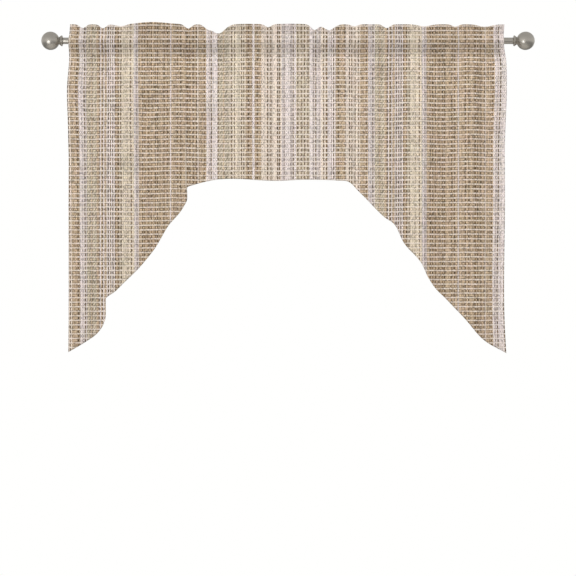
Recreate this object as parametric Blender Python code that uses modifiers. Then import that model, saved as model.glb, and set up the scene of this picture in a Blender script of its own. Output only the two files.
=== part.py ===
"""A swag and tail drape in striped woven cloth, hanging by its rod pocket from a ball-ended curtain rod.

Units are metres. The rod runs along X through the origin, +Y points at the wall and +Z is up.
"""

from collections import namedtuple
from math import pi

import bpy
import numpy as np

# Rod: a steel tube with a collar and a ball finial plugged into each end.
ROD_RADIUS = 0.009
ROD_WALL = 0.001
ROD_HALF_LENGTH = 0.627
BALL_RADIUS = 0.0254
BALL_CENTRE = 0.6612
NECK_RADIUS = 0.010
PLUG_DEPTH = 0.025
COLLAR_LENGTH = 0.0086
COLLAR_RADIUS = 0.015
COLLAR_NEAR_RADIUS = 0.0125
COLLAR_FAR_RADIUS = 0.0112
COLLAR_NEAR_SLOPE = 0.0014
COLLAR_RIM = 0.0016
FIT_GAP = 0.0003
ROD_SIDES = 24
BALL_ARCS = 12

# Cloth: one piece, folded over at the top of the heading and sewn down behind the rod.
# The heights are those of the heading's top edge and of the two seams of the rod pocket.
CLOTH_THICKNESS = 0.0012
ROD_CLEARANCE = 0.0008
LAYER_HALF_GAP = 0.0014
HEADING_TOP = 0.0455
HEADING_SEAM = 0.0200
POCKET_SEAM = -0.0420
# How far the pocket puffs out between two furrows, and how wide a strip sways at the sides.
PUFF = 0.0022
EDGE_REACH = 0.050
# Heights where the folds below the rod begin and are full, and where the puckers' creases,
# a share of the furrow above them, are full, start to fade and end.
FLUTES_START = -0.012
FLUTES_FULL = -0.085
CREASE_SHARE = 0.5
CREASE_FULL = -0.052
CREASE_FADE = -0.060
CREASE_END = -0.170
# Sharpness of the bell that every pucker, flute and sway is shaped by.
BELL = 1.2

# The mesh of the cloth: columns across the rod, and rows in each band of one thread's way
# from the hem, up the front, over the top of the heading and down behind the rod.
COLUMNS = 76
BODY_ROWS = 11
POCKET_ROWS = 8
HEADING_ROWS = 2
ROLL_ROWS = 4

# The hem from the left tip to the right one: where a thread ends (x, z), and where on the
# rod it hangs from. The threads lean a little where the hem runs nearly straight up.
HemPoint = namedtuple("HemPoint", "thread x z")
HEM = (
    HemPoint(thread=-0.606, x=-0.6116, z=-0.8669),
    HemPoint(thread=-0.565, x=-0.5621, z=-0.8369),
    HemPoint(thread=-0.538, x=-0.5301, z=-0.8138),
    HemPoint(thread=-0.522, x=-0.5142, z=-0.7923),
    HemPoint(thread=-0.512, x=-0.5070, z=-0.7692),
    HemPoint(thread=-0.501, x=-0.5123, z=-0.7283),
    HemPoint(thread=-0.494, x=-0.5053, z=-0.7160),
    HemPoint(thread=-0.480, x=-0.4839, z=-0.6999),
    HemPoint(thread=-0.455, x=-0.4555, z=-0.6715),
    HemPoint(thread=-0.413, x=-0.4129, z=-0.6289),
    HemPoint(thread=-0.371, x=-0.3703, z=-0.5774),
    HemPoint(thread=-0.336, x=-0.3346, z=-0.5189),
    HemPoint(thread=-0.299, x=-0.2923, z=-0.4655),
    HemPoint(thread=-0.287, x=-0.2806, z=-0.4376),
    HemPoint(thread=-0.279, x=-0.2887, z=-0.4195),
    HemPoint(thread=-0.272, x=-0.2815, z=-0.4090),
    HemPoint(thread=-0.258, x=-0.2603, z=-0.4001),
    HemPoint(thread=-0.214, x=-0.2144, z=-0.3892),
    HemPoint(thread=-0.050, x=-0.0500, z=-0.3895),
    HemPoint(thread=0.136, x=0.1360, z=-0.3898),
    HemPoint(thread=0.168, x=0.1690, z=-0.3935),
    HemPoint(thread=0.194, x=0.1985, z=-0.4209),
    HemPoint(thread=0.266, x=0.2695, z=-0.4905),
    HemPoint(thread=0.298, x=0.2979, z=-0.5117),
    HemPoint(thread=0.320, x=0.3210, z=-0.5599),
    HemPoint(thread=0.375, x=0.3761, z=-0.6289),
    HemPoint(thread=0.386, x=0.3855, z=-0.6503),
    HemPoint(thread=0.403, x=0.4029, z=-0.6787),
    HemPoint(thread=0.443, x=0.4435, z=-0.7213),
    HemPoint(thread=0.489, x=0.4897, z=-0.7712),
    HemPoint(thread=0.536, x=0.5370, z=-0.8265),
    HemPoint(thread=0.602, x=0.6077, z=-0.8697),
)

# The two upright edges of the cloth: their x at each height.
SideEdges = namedtuple("SideEdges", "z left right")
SIDE_EDGES = (
    SideEdges(z=-0.868, left=-0.6116, right=0.6077),
    SideEdges(z=-0.800, left=-0.6110, right=0.6040),
    SideEdges(z=-0.450, left=-0.6112, right=0.6035),
    SideEdges(z=-0.250, left=-0.6111, right=0.6041),
    SideEdges(z=-0.130, left=-0.6139, right=0.6083),
    SideEdges(z=-0.050, left=-0.6083, right=0.6060),
    SideEdges(z=-0.012, left=-0.6097, right=0.6000),
    SideEdges(z=0.045, left=-0.6064, right=0.6022),
)

# The furrows where the pocket is drawn up on the rod: each pulls the top edge down by drop
# and sinks the heading towards the wall by furrow.
Pucker = namedtuple("Pucker", "x half_width drop furrow")
PUCKERS = (
    Pucker(x=-0.571, half_width=0.012, drop=0.0100, furrow=0.0055),
    Pucker(x=-0.515, half_width=0.012, drop=0.0105, furrow=0.0070),
    Pucker(x=-0.465, half_width=0.021, drop=0.0050, furrow=0.0050),
    Pucker(x=-0.377, half_width=0.062, drop=-0.0055, furrow=-0.0050),
    Pucker(x=-0.278, half_width=0.013, drop=0.0115, furrow=0.0070),
    Pucker(x=-0.225, half_width=0.013, drop=0.0095, furrow=0.0040),
    Pucker(x=-0.194, half_width=0.026, drop=0.0260, furrow=0.0110),
    Pucker(x=-0.113, half_width=0.045, drop=-0.0005, furrow=-0.0050),
    Pucker(x=-0.055, half_width=0.012, drop=0.0075, furrow=0.0065),
    Pucker(x=0.007, half_width=0.045, drop=-0.0010, furrow=-0.0045),
    Pucker(x=0.074, half_width=0.014, drop=0.0156, furrow=0.0070),
    Pucker(x=0.114, half_width=0.021, drop=0.0159, furrow=0.0065),
    Pucker(x=0.185, half_width=0.013, drop=0.0048, furrow=0.0055),
    Pucker(x=0.275, half_width=0.013, drop=0.0100, furrow=0.0070),
    Pucker(x=0.380, half_width=0.024, drop=0.0045, furrow=0.0070),
    Pucker(x=0.466, half_width=0.013, drop=0.0055, furrow=0.0065),
    Pucker(x=0.549, half_width=0.026, drop=0.0060, furrow=0.0055),
)

# The soft flutes below the pocket: x at the rod and at the tips' level, and how far each
# stands in towards the wall (or out into the room where depth is below zero), from top
# down to bottom. All of them grow a little deeper towards the free hem.
Flute = namedtuple("Flute", "x x_low half_width depth top bottom")
FLUTES = (
    Flute(x=-0.600, x_low=-0.606, half_width=0.024, depth=-0.0080, top=-0.02, bottom=-0.30),
    Flute(x=-0.548, x_low=-0.566, half_width=0.034, depth=0.0090, top=-0.05, bottom=-0.90),
    Flute(x=-0.492, x_low=-0.520, half_width=0.026, depth=-0.0070, top=-0.22, bottom=-0.90),
    Flute(x=-0.445, x_low=-0.448, half_width=0.026, depth=-0.0125, top=-0.02, bottom=-0.34),
    Flute(x=-0.375, x_low=-0.452, half_width=0.040, depth=0.0150, top=-0.16, bottom=-0.80),
    Flute(x=-0.300, x_low=-0.335, half_width=0.032, depth=-0.0105, top=-0.04, bottom=-0.62),
    Flute(x=-0.217, x_low=-0.219, half_width=0.017, depth=-0.0070, top=-0.02, bottom=-0.19),
    Flute(x=-0.168, x_low=-0.345, half_width=0.020, depth=0.0105, top=-0.20, bottom=-0.60),
    Flute(x=-0.110, x_low=-0.118, half_width=0.048, depth=-0.0090, top=-0.02, bottom=-0.90),
    Flute(x=-0.028, x_low=-0.020, half_width=0.034, depth=0.0080, top=-0.08, bottom=-0.90),
    Flute(x=0.040, x_low=0.048, half_width=0.034, depth=-0.0070, top=-0.02, bottom=-0.90),
    Flute(x=0.084, x_low=0.080, half_width=0.013, depth=0.0080, top=0.0, bottom=-0.16),
    Flute(x=0.146, x_low=0.140, half_width=0.034, depth=-0.0105, top=-0.02, bottom=-0.60),
    Flute(x=0.200, x_low=0.196, half_width=0.013, depth=0.0080, top=0.0, bottom=-0.18),
    Flute(x=0.264, x_low=0.285, half_width=0.036, depth=0.0160, top=-0.08, bottom=-0.90),
    Flute(x=0.345, x_low=0.362, half_width=0.038, depth=-0.0115, top=-0.02, bottom=-0.90),
    Flute(x=0.425, x_low=0.440, half_width=0.036, depth=0.0115, top=-0.06, bottom=-0.90),
    Flute(x=0.500, x_low=0.520, half_width=0.034, depth=-0.0105, top=-0.02, bottom=-0.90),
    Flute(x=0.556, x_low=0.572, half_width=0.020, depth=0.0070, top=-0.10, bottom=-0.90),
    Flute(x=0.592, x_low=0.600, half_width=0.022, depth=-0.0080, top=-0.02, bottom=-0.26),
)
FLUTE_FADE = 0.060
FLUTE_SHARE_AT_ROD = 0.85
FLUTE_SHARE_AT_TIPS = 1.30


def column(table, name):
    """One named column of a table, as an array."""
    return np.array([getattr(row, name) for row in table])


def ease(share):
    """0 to 1 with no corner at either end."""
    share = np.clip(share, 0.0, 1.0)
    return share * share * (3.0 - 2.0 * share)


def bump(distance):
    """A soft bell of height 1 that has died away at twice its half width."""
    return np.exp(-BELL * distance * distance)


def smooth_curve(knots, values, at):
    """A smooth curve through the values at the knots: on each stretch a cubic whose slopes
    at the ends are those of the chords between the neighbouring points."""
    slopes = np.gradient(values, knots)
    i = np.clip(np.searchsorted(knots, at, side="right") - 1, 0, len(knots) - 2)
    length = knots[i + 1] - knots[i]
    t = (at - knots[i]) / length
    rise = t * t * (3.0 - 2.0 * t)
    leave = t * (1.0 - t) * (1.0 - t) * length
    arrive = -t * t * (1.0 - t) * length
    return values[i] * (1.0 - rise) + values[i + 1] * rise + slopes[i] * leave + slopes[i + 1] * arrive


def hem_threads(share):
    """For a share of the way across, the thread's place on the rod and its end (x, z) in the
    hem. The threads are spaced evenly in the length of rod and hem taken together."""
    thread, x, z = (column(HEM, name) for name in ("thread", "x", "z"))
    steps = np.hypot(np.diff(x), np.diff(z)) + np.diff(thread)
    knots = np.concatenate([[0.0], np.cumsum(steps)])
    at = share * knots[-1]
    return np.interp(at, knots, thread), smooth_curve(knots, x, at), smooth_curve(knots, z, at)


def edge_sway(x, z):
    """How far the cloth near its upright edges lies from a straight fall."""
    heights = column(SIDE_EDGES, "z")
    sway = np.zeros_like(x)
    for name, hem_point in (("left", HEM[0]), ("right", HEM[-1])):
        edge = smooth_curve(heights, column(SIDE_EDGES, name), np.clip(z, heights[0], heights[-1]))
        fall = np.clip((z - POCKET_SEAM) / (hem_point.z - POCKET_SEAM), 0.0, 1.0)
        straight = hem_point.thread + (hem_point.x - hem_point.thread) * fall
        sway += (edge - straight) * bump((x - straight) / EDGE_REACH)
    return sway


def puckers(thread, name):
    """The sum of the puckers' named column along the rod."""
    total = np.zeros_like(thread)
    for pucker in PUCKERS:
        total += getattr(pucker, name) * bump((thread - pucker.x) / pucker.half_width)
    return total


def flutes(x, z):
    """Depth of the folds that hang below the pocket."""
    fall = np.clip(z / HEM[-1].z, 0.0, 1.0)
    depth = np.zeros_like(x)
    for flute in FLUTES:
        centre = flute.x + (flute.x_low - flute.x) * fall
        begun = ease((flute.top - z) / FLUTE_FADE + 0.5)
        ended = ease((flute.bottom - z) / FLUTE_FADE + 0.5)
        depth += flute.depth * bump((x - centre) / flute.half_width) * (begun - ended)
    growth = FLUTE_SHARE_AT_ROD + (FLUTE_SHARE_AT_TIPS - FLUTE_SHARE_AT_ROD) * fall
    return depth * growth * ease((FLUTES_START - z) / (FLUTES_START - FLUTES_FULL))


def lean(thread, z):
    """How far the puckers push the cloth over: most at the heading's top edge, nothing at
    the rod, and part of it again in the creases that run down from the pocket's seam."""
    heading = np.clip((z - HEADING_SEAM) / (HEADING_TOP - HEADING_SEAM), 0.0, 1.0)
    begun = ease((FLUTES_START - z) / (FLUTES_START - CREASE_FULL))
    ended = ease((CREASE_FADE - z) / (CREASE_FADE - CREASE_END))
    return puckers(thread, "furrow") * (heading + CREASE_SHARE * begun * (1.0 - ended))


def half_gap(thread, z):
    """Half the distance between the front and back layers: small at the two seams, and
    wide where the pocket goes round the rod, on a squared cosine between."""
    reach = np.clip(np.maximum(z / HEADING_SEAM, z / POCKET_SEAM), 0.0, 1.0)
    swell = np.cos(0.5 * pi * reach) ** 2
    drawn = np.clip(puckers(thread, "furrow") / max(column(PUCKERS, "furrow")), 0.0, 1.0)
    at_rod = ROD_RADIUS + CLOTH_THICKNESS / 2.0 + ROD_CLEARANCE + PUFF * (1.0 - drawn)
    return LAYER_HALF_GAP + swell * (at_rod - LAYER_HALF_GAP)


def cloth_point(across, row):
    """The middle of the cloth at a share of the way across and a row along the thread.
    Height is the sum of the bands passed so far, with the pocket's rows closer together
    near the top of the rod, and the roll at the top of the heading turns the thread from
    the front layer (side -1) to the back one (side +1)."""
    starts = np.cumsum([0, BODY_ROWS, POCKET_ROWS, HEADING_ROWS, ROLL_ROWS, HEADING_ROWS])
    lengths = (BODY_ROWS, POCKET_ROWS, HEADING_ROWS, ROLL_ROWS, HEADING_ROWS, POCKET_ROWS)
    body, pocket_up, heading_up, roll, heading_down, pocket_down = (
        np.clip((row - start) / length, 0.0, 1.0) for start, length in zip(starts, lengths)
    )
    thread, hem_x, hem_z = hem_threads(across)
    crown = HEADING_TOP - puckers(thread, "drop") - LAYER_HALF_GAP
    level = hem_z + body * (POCKET_SEAM - hem_z)
    pocket = np.sin(0.5 * pi * pocket_up) - (1.0 - np.cos(0.5 * pi * pocket_down))
    level += pocket * (HEADING_SEAM - POCKET_SEAM)
    level += (heading_up - heading_down) * (crown - HEADING_SEAM)
    x = hem_x + (thread - hem_x) * body
    x += edge_sway(x, level)
    side = -np.cos(pi * roll)
    y = lean(thread, level) + flutes(x, level) + side * half_gap(thread, level)
    return x, y, level + LAYER_HALF_GAP * np.sin(pi * roll)


def material(name, colour, roughness, metallic=0.0):
    """A plain Principled material."""
    finish = bpy.data.materials.new(name)
    finish.use_nodes = True
    shader = finish.node_tree.nodes["Principled BSDF"]
    shader.inputs["Base Color"].default_value = (*colour, 1.0)
    shader.inputs["Roughness"].default_value = roughness
    shader.inputs["Metallic"].default_value = metallic
    return finish


def build_drape(collection, finish):
    """The cloth: a flat grid whose two directions are the share across and the row, bent
    into the hanging sheet and given its thickness."""
    rows = BODY_ROWS + 2 * POCKET_ROWS + 2 * HEADING_ROWS + ROLL_ROWS
    bpy.ops.mesh.primitive_grid_add(x_subdivisions=COLUMNS, y_subdivisions=rows, size=1.0)
    drape = bpy.context.object
    drape.name = "drape"
    mesh = drape.data
    mesh.name = "drape"
    flat = np.empty(len(mesh.vertices) * 3)
    mesh.vertices.foreach_get("co", flat)
    flat = flat.reshape(-1, 3) + 0.5
    bent = np.stack(cloth_point(flat[:, 0], flat[:, 1] * rows), axis=1)
    mesh.vertices.foreach_set("co", bent.ravel())
    mesh.update()
    mesh.materials.append(finish)
    mesh.shade_smooth()
    for other in tuple(drape.users_collection):
        other.objects.unlink(drape)
    collection.objects.link(drape)
    thickness = drape.modifiers.new("thickness", "SOLIDIFY")
    thickness.thickness = CLOTH_THICKNESS
    thickness.offset = 0.0


def build_turned(name, profile, side, collection, finish):
    """A piece turned about the rod's axis. The profile's (along, radius) points run down its
    outer side from the far end to the near end; side is +1 for the right end of the rod."""
    mesh = bpy.data.meshes.new(name)
    points = [(radius, 0.0, along) for along, radius in profile]
    mesh.from_pydata(points, [(i, i + 1) for i in range(len(points) - 1)], [])
    mesh.materials.append(finish)
    piece = bpy.data.objects.new(name, mesh)
    collection.objects.link(piece)
    turn = piece.modifiers.new("turn", "SCREW")
    turn.axis = "Z"
    turn.angle = 2.0 * pi
    turn.steps = ROD_SIDES
    turn.render_steps = ROD_SIDES
    turn.use_merge_vertices = True
    turn.merge_threshold = 0.00001
    piece.rotation_euler = (0.0, side * pi / 2.0, 0.0)


def build_rod(collection, finish):
    """The tube: out along the outer wall, back along the inner one."""
    inner = ROD_RADIUS - ROD_WALL
    profile = (
        (ROD_HALF_LENGTH, inner),
        (ROD_HALF_LENGTH, ROD_RADIUS),
        (-ROD_HALF_LENGTH, ROD_RADIUS),
        (-ROD_HALF_LENGTH, inner),
        (ROD_HALF_LENGTH, inner),
    )
    build_turned("rod", profile, 1, collection, finish)


def build_collar(name, side, collection, finish):
    """The ring between the tube's end and the ball: a short slope up from the tube to a
    narrow rim, and a long slope down to the ball's neck."""
    near = ROD_HALF_LENGTH + FIT_GAP
    far = near + COLLAR_LENGTH
    rim = near + COLLAR_NEAR_SLOPE
    bore = ROD_RADIUS - ROD_WALL
    profile = (
        (far, bore),
        (far, COLLAR_FAR_RADIUS),
        (rim + COLLAR_RIM, COLLAR_RADIUS),
        (rim, COLLAR_RADIUS),
        (near, COLLAR_NEAR_RADIUS),
        (near, bore),
        (far, bore),
    )
    build_turned(name, profile, side, collection, finish)


def build_finial(name, side, collection, finish):
    """The ball on its neck, with the plug that goes through the collar into the tube."""
    shoulder = ROD_HALF_LENGTH + COLLAR_LENGTH + 2.0 * FIT_GAP
    plug_end = ROD_HALF_LENGTH - PLUG_DEPTH
    plug_radius = ROD_RADIUS - ROD_WALL - FIT_GAP
    neck_angle = pi - np.arcsin(NECK_RADIUS / BALL_RADIUS)
    arc = np.linspace(0.0, neck_angle, BALL_ARCS + 1)
    profile = [(BALL_CENTRE + BALL_RADIUS * np.cos(a), BALL_RADIUS * np.sin(a)) for a in arc]
    profile += [
        (shoulder, NECK_RADIUS),
        (shoulder, plug_radius),
        (plug_end, plug_radius),
        (plug_end, 0.0),
    ]
    build_turned(name, profile, side, collection, finish)


def main():
    for old in list(bpy.data.objects):
        bpy.data.objects.remove(old, do_unlink=True)
    collection = bpy.data.collections.new("swag_and_tail_drape")
    bpy.context.scene.collection.children.link(collection)
    cloth = material("striped_woven_cloth", (0.52, 0.43, 0.33), 0.9)
    nickel = material("brushed_nickel", (0.42, 0.40, 0.36), 0.35, 1.0)
    build_drape(collection, cloth)
    build_rod(collection, nickel)
    for name, side in (("left", -1), ("right", 1)):
        build_collar("collar_" + name, side, collection, nickel)
        build_finial("finial_" + name, side, collection, nickel)


main()
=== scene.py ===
"""Looks for the swag and tail drape: striped woven cloth on a satin nickel rod with ball ends.

Metres, in the frame of the part: the rod runs along X through the origin, the room is at -Y
and +Z is up.
"""

import math
from collections import namedtuple
from itertools import cycle

import bmesh
import bpy
import numpy as np
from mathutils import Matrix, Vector
from mathutils.bvhtree import BVHTree


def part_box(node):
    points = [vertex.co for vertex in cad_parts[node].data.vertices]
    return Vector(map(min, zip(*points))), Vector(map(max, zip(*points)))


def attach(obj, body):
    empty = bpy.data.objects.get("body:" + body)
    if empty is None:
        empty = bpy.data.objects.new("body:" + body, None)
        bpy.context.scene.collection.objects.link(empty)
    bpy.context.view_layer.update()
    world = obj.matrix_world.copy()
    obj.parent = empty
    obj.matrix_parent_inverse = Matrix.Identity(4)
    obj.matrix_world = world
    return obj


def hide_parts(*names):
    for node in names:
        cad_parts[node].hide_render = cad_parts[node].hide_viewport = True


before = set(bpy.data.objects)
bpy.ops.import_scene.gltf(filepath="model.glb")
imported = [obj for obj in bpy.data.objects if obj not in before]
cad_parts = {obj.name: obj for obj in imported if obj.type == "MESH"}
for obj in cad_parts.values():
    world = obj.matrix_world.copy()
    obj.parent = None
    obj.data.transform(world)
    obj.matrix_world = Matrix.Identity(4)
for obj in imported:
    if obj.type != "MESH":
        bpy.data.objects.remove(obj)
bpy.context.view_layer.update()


def named_rows(fields, *rows):
    """The rows of a table, with each value's field by name."""
    row_kind = namedtuple("Row", fields)
    return tuple(row_kind(*row) for row in rows)


MM = 0.001

# Sizes taken from the part itself.
ROD_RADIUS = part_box("rod")[1][2]
ROD_HALF_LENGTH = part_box("rod")[1][0]
BALL_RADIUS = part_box("finial_right")[1][2]
BALL_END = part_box("finial_right")[1][0]
COLLAR_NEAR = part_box("collar_right")[0][0]
COLLAR_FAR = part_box("collar_right")[1][0]
COLLAR_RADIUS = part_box("collar_right")[1][2]

# The rest of the turned pieces.
ROD_WALL = 1.0 * MM
NECK_RADIUS = 10.0 * MM
NECK_FILLET = 1.2 * MM
PLUG_DEPTH = 25.0 * MM
FIT_GAP = 0.3 * MM
COLLAR_NEAR_RADIUS = 12.5 * MM
COLLAR_FAR_RADIUS = 11.2 * MM
COLLAR_NEAR_SLOPE = 1.4 * MM
COLLAR_RIM = 1.6 * MM
EDGE_ROUND = 0.3 * MM
TURNED_SIDES = 96
TUBE_ROUND = 0.2 * MM
FILLET_SWELL = 0.2 * MM
BALL_ARCS = 40
WELD_REACH = 0.001 * MM
SHARP_ANGLE = 40.0

# Cloth: the sheet and the two seams of the rod pocket, as heights above the rod's axis.
SHEET_THICKNESS = 1.0 * MM
SOLID_THICKNESS = 1.2 * MM
ROD_CLEARANCE = 0.8 * MM
LAYER_HALF_GAP = 1.4 * MM
HEADING_TOP = 45.5 * MM
HEADING_SEAM = 20.0 * MM
POCKET_SEAM = -42.0 * MM
PUFF = 2.2 * MM
EDGE_REACH = 50.0 * MM
FLUTES_START = -12.0 * MM
FLUTES_FULL = -85.0 * MM
CREASE_SHARE = 0.5
CREASE_FULL = -52.0 * MM
CREASE_FADE = -60.0 * MM
CREASE_END = -170.0 * MM
FLUTE_FADE = 60.0 * MM
FLUTE_SHARE_AT_ROD = 0.85
FLUTE_SHARE_AT_TIPS = 1.30
DRAWN_SHARE = 0.35
TAKE_UP = 1.7 * MM
TAKE_UP_START = -0.365
TAKE_UP_FULL = -0.400
BELL = 1.2

# Sewing: lock stitches along both seams of the pocket and round the hem's turned edge.
POCKET_STITCHES = -38.0 * MM
SEAM_DRAW = 0.6 * MM
SEAM_REACH = 6.0 * MM
HEM_WIDTH = 12.0 * MM
HEM_STITCHES = 9.5 * MM
HEM_INSET = 0.5 * MM
TURNING_THICKNESS = 0.5 * MM
STEEPEST_FACING = 0.5
PATH_STEP = 4.0 * MM
SIDE_SAMPLES = 200
HEM_SAMPLES = 600
NORMAL_REACH = 3
MITRE_STEPS = 8
TURNING_COLUMNS = 4
STITCH_PITCH = 3.4 * MM
STITCH_LENGTH = 2.7 * MM
STITCH_RADIUS = 0.28 * MM
STITCH_SINK = 0.08 * MM

# Grid of the sheet: columns across, and rows in each band of a thread's way from the hem.
COLUMNS = 282
BODY_ROWS = 98
POCKET_ROWS = 21
HEADING_ROWS = 9
ROLL_ROWS = 6
SHEET_ROWS = BODY_ROWS + 2 * POCKET_ROWS + 2 * HEADING_ROWS + ROLL_ROWS

# The hem from the left tip to the right one: where a thread ends, and its place on the rod.
HEM = named_rows(
    "thread x z",
    (-0.606, -0.6116, -0.8669),
    (-0.565, -0.5621, -0.8369),
    (-0.538, -0.5301, -0.8138),
    (-0.522, -0.5142, -0.7923),
    (-0.512, -0.5070, -0.7692),
    (-0.501, -0.5123, -0.7283),
    (-0.494, -0.5053, -0.7160),
    (-0.480, -0.4839, -0.6999),
    (-0.455, -0.4555, -0.6715),
    (-0.413, -0.4129, -0.6289),
    (-0.371, -0.3703, -0.5774),
    (-0.336, -0.3346, -0.5189),
    (-0.299, -0.2923, -0.4655),
    (-0.287, -0.2806, -0.4376),
    (-0.279, -0.2887, -0.4195),
    (-0.272, -0.2815, -0.4090),
    (-0.258, -0.2603, -0.4001),
    (-0.214, -0.2144, -0.3892),
    (-0.050, -0.0500, -0.3895),
    (0.136, 0.1360, -0.3898),
    (0.168, 0.1690, -0.3935),
    (0.194, 0.1985, -0.4209),
    (0.266, 0.2695, -0.4905),
    (0.298, 0.2979, -0.5117),
    (0.320, 0.3210, -0.5599),
    (0.375, 0.3761, -0.6289),
    (0.386, 0.3855, -0.6503),
    (0.403, 0.4029, -0.6787),
    (0.443, 0.4435, -0.7213),
    (0.489, 0.4897, -0.7712),
    (0.536, 0.5370, -0.8265),
    (0.602, 0.6077, -0.8697),
)

# The two upright edges of the cloth: their x at each height.
SIDE_EDGES = named_rows(
    "z left right",
    (-0.868, -0.6116, 0.6077),
    (-0.800, -0.6110, 0.6040),
    (-0.450, -0.6112, 0.6035),
    (-0.250, -0.6111, 0.6041),
    (-0.130, -0.6139, 0.6083),
    (-0.050, -0.6083, 0.6060),
    (-0.012, -0.6097, 0.6000),
    (0.045, -0.6064, 0.6022),
)

# Where the pocket is drawn up on the rod: how far the top edge drops and the furrow sinks in.
PUCKERS = named_rows(
    "x half_width drop furrow",
    (-0.571, 0.012, 0.0100, 0.0055),
    (-0.515, 0.012, 0.0105, 0.0070),
    (-0.465, 0.021, 0.0050, 0.0050),
    (-0.377, 0.062, -0.0055, -0.0050),
    (-0.278, 0.013, 0.0115, 0.0070),
    (-0.225, 0.013, 0.0095, 0.0040),
    (-0.194, 0.026, 0.0260, 0.0110),
    (-0.113, 0.045, -0.0005, -0.0050),
    (-0.055, 0.012, 0.0075, 0.0065),
    (0.007, 0.045, -0.0010, -0.0045),
    (0.074, 0.014, 0.0156, 0.0070),
    (0.114, 0.021, 0.0159, 0.0065),
    (0.185, 0.013, 0.0048, 0.0055),
    (0.275, 0.013, 0.0100, 0.0070),
    (0.380, 0.024, 0.0045, 0.0070),
    (0.466, 0.013, 0.0055, 0.0065),
    (0.549, 0.026, 0.0060, 0.0055),
)

# The soft flutes below the pocket: x at the rod and at the tips' level, depth towards the wall.
FLUTES = named_rows(
    "x x_low half_width depth top bottom",
    (-0.600, -0.606, 0.024, -0.0080, -0.02, -0.30),
    (-0.548, -0.566, 0.034, 0.0090, -0.05, -0.90),
    (-0.492, -0.520, 0.026, -0.0070, -0.22, -0.90),
    (-0.445, -0.448, 0.026, -0.0125, -0.02, -0.34),
    (-0.375, -0.452, 0.040, 0.0150, -0.16, -0.80),
    (-0.300, -0.335, 0.032, -0.0105, -0.04, -0.62),
    (-0.217, -0.219, 0.017, -0.0070, -0.02, -0.19),
    (-0.168, -0.345, 0.020, 0.0105, -0.20, -0.60),
    (-0.110, -0.118, 0.048, -0.0090, -0.02, -0.90),
    (-0.028, -0.020, 0.034, 0.0080, -0.08, -0.90),
    (0.040, 0.048, 0.034, -0.0070, -0.02, -0.90),
    (0.084, 0.080, 0.013, 0.0080, 0.0, -0.16),
    (0.146, 0.140, 0.034, -0.0105, -0.02, -0.60),
    (0.200, 0.196, 0.013, 0.0080, 0.0, -0.18),
    (0.264, 0.285, 0.036, 0.0160, -0.08, -0.90),
    (0.345, 0.362, 0.038, -0.0115, -0.02, -0.90),
    (0.425, 0.440, 0.036, 0.0115, -0.06, -0.90),
    (0.500, 0.520, 0.034, -0.0105, -0.02, -0.90),
    (0.556, 0.572, 0.020, 0.0070, -0.10, -0.90),
    (0.592, 0.600, 0.022, -0.0080, -0.02, -0.26),
)

# The small creases: along the seams, under the rod, and down the free cloth below the pocket.
GATHER_REACH = 13.0 * MM
RIPPLE_REACH = 60.0 * MM
GATHERS = named_rows(
    "length height phase",
    (0.0171, 0.00016, 0.4),
    (0.0233, 0.00022, 2.1),
    (0.0317, 0.00018, 4.4),
)
TUCK_TOP = -6.0 * MM
TUCK_FULL = -44.0 * MM
TUCK_END = -110.0 * MM
TUCKS = named_rows(
    "x half_width depth",
    (-0.555, 0.014, -0.0032),
    (-0.520, 0.012, 0.0023),
    (-0.484, 0.012, -0.0043),
    (-0.455, 0.012, 0.0026),
    (-0.392, 0.018, -0.0026),
    (-0.351, 0.010, -0.0029),
    (-0.333, 0.010, 0.0026),
    (-0.281, 0.016, 0.0026),
    (-0.237, 0.012, 0.0032),
    (-0.164, 0.014, -0.0055),
    (-0.095, 0.016, -0.0049),
    (-0.058, 0.012, 0.0032),
    (-0.015, 0.024, 0.0035),
    (0.053, 0.014, -0.0049),
    (0.090, 0.010, 0.0023),
    (0.114, 0.012, -0.0055),
    (0.150, 0.018, 0.0023),
    (0.200, 0.012, 0.0035),
    (0.250, 0.020, -0.0038),
    (0.325, 0.014, 0.0023),
    (0.412, 0.014, 0.0035),
    (0.448, 0.014, -0.0038),
    (0.479, 0.012, 0.0038),
    (0.562, 0.016, 0.0038),
    (0.607, 0.012, -0.0035),
)
RIPPLES = named_rows(
    "length lean height phase",
    (0.0310, 0.03, 0.00022, 1.2),
    (0.0470, -0.05, 0.00042, 3.7),
    (0.0730, 0.08, 0.00080, 5.1),
    (0.1130, -0.11, 0.00120, 0.3),
)

# The stripes of one repeat of the cloth, left to right, each of one kind.
STRIPES_START = -0.415
STRIPES = named_rows(
    "kind width",
    ("brown", 0.085),
    ("pale_line", 0.005),
    ("brown", 0.070),
    ("cream_line", 0.005),
    ("brown", 0.020),
    ("lilac", 0.035),
    ("green", 0.030),
    ("barred_yellow", 0.045),
    ("brown", 0.020),
    ("pale_line", 0.005),
    ("brown", 0.020),
    ("barred_cream", 0.055),
    ("lilac", 0.040),
    ("barred_yellow", 0.040),
    ("lilac", 0.030),
    ("barred_cream", 0.020),
    ("lilac", 0.020),
    ("brown", 0.030),
    ("barred_cream", 0.040),
    ("brown", 0.020),
    ("lilac", 0.020),
    ("green", 0.030),
    ("barred_tan", 0.025),
    ("barred_lilac", 0.025),
    ("brown", 0.010),
    ("barred_yellow", 0.040),
    ("lilac", 0.015),
)

# The order of the yarns in each kind of stripe, as a letter and a number of ends. It starts at
# the stripe's left edge and goes round until the stripe is full.
WARP_END = 2.5 * MM
ORDERS = {
    "brown": "b3 n1 b2 n1",
    "pale_line": "w1",
    "cream_line": "c1",
    "lilac": "w3 g1 w2 d1",
    "green": "t5 b1",
    "barred_yellow": "y2 d1 y3 d1",
    "barred_cream": "c3 d1 c2 d1",
    "barred_tan": "b2 d1 w1",
    "barred_lilac": "w2 d1 w1 n1",
}

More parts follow.
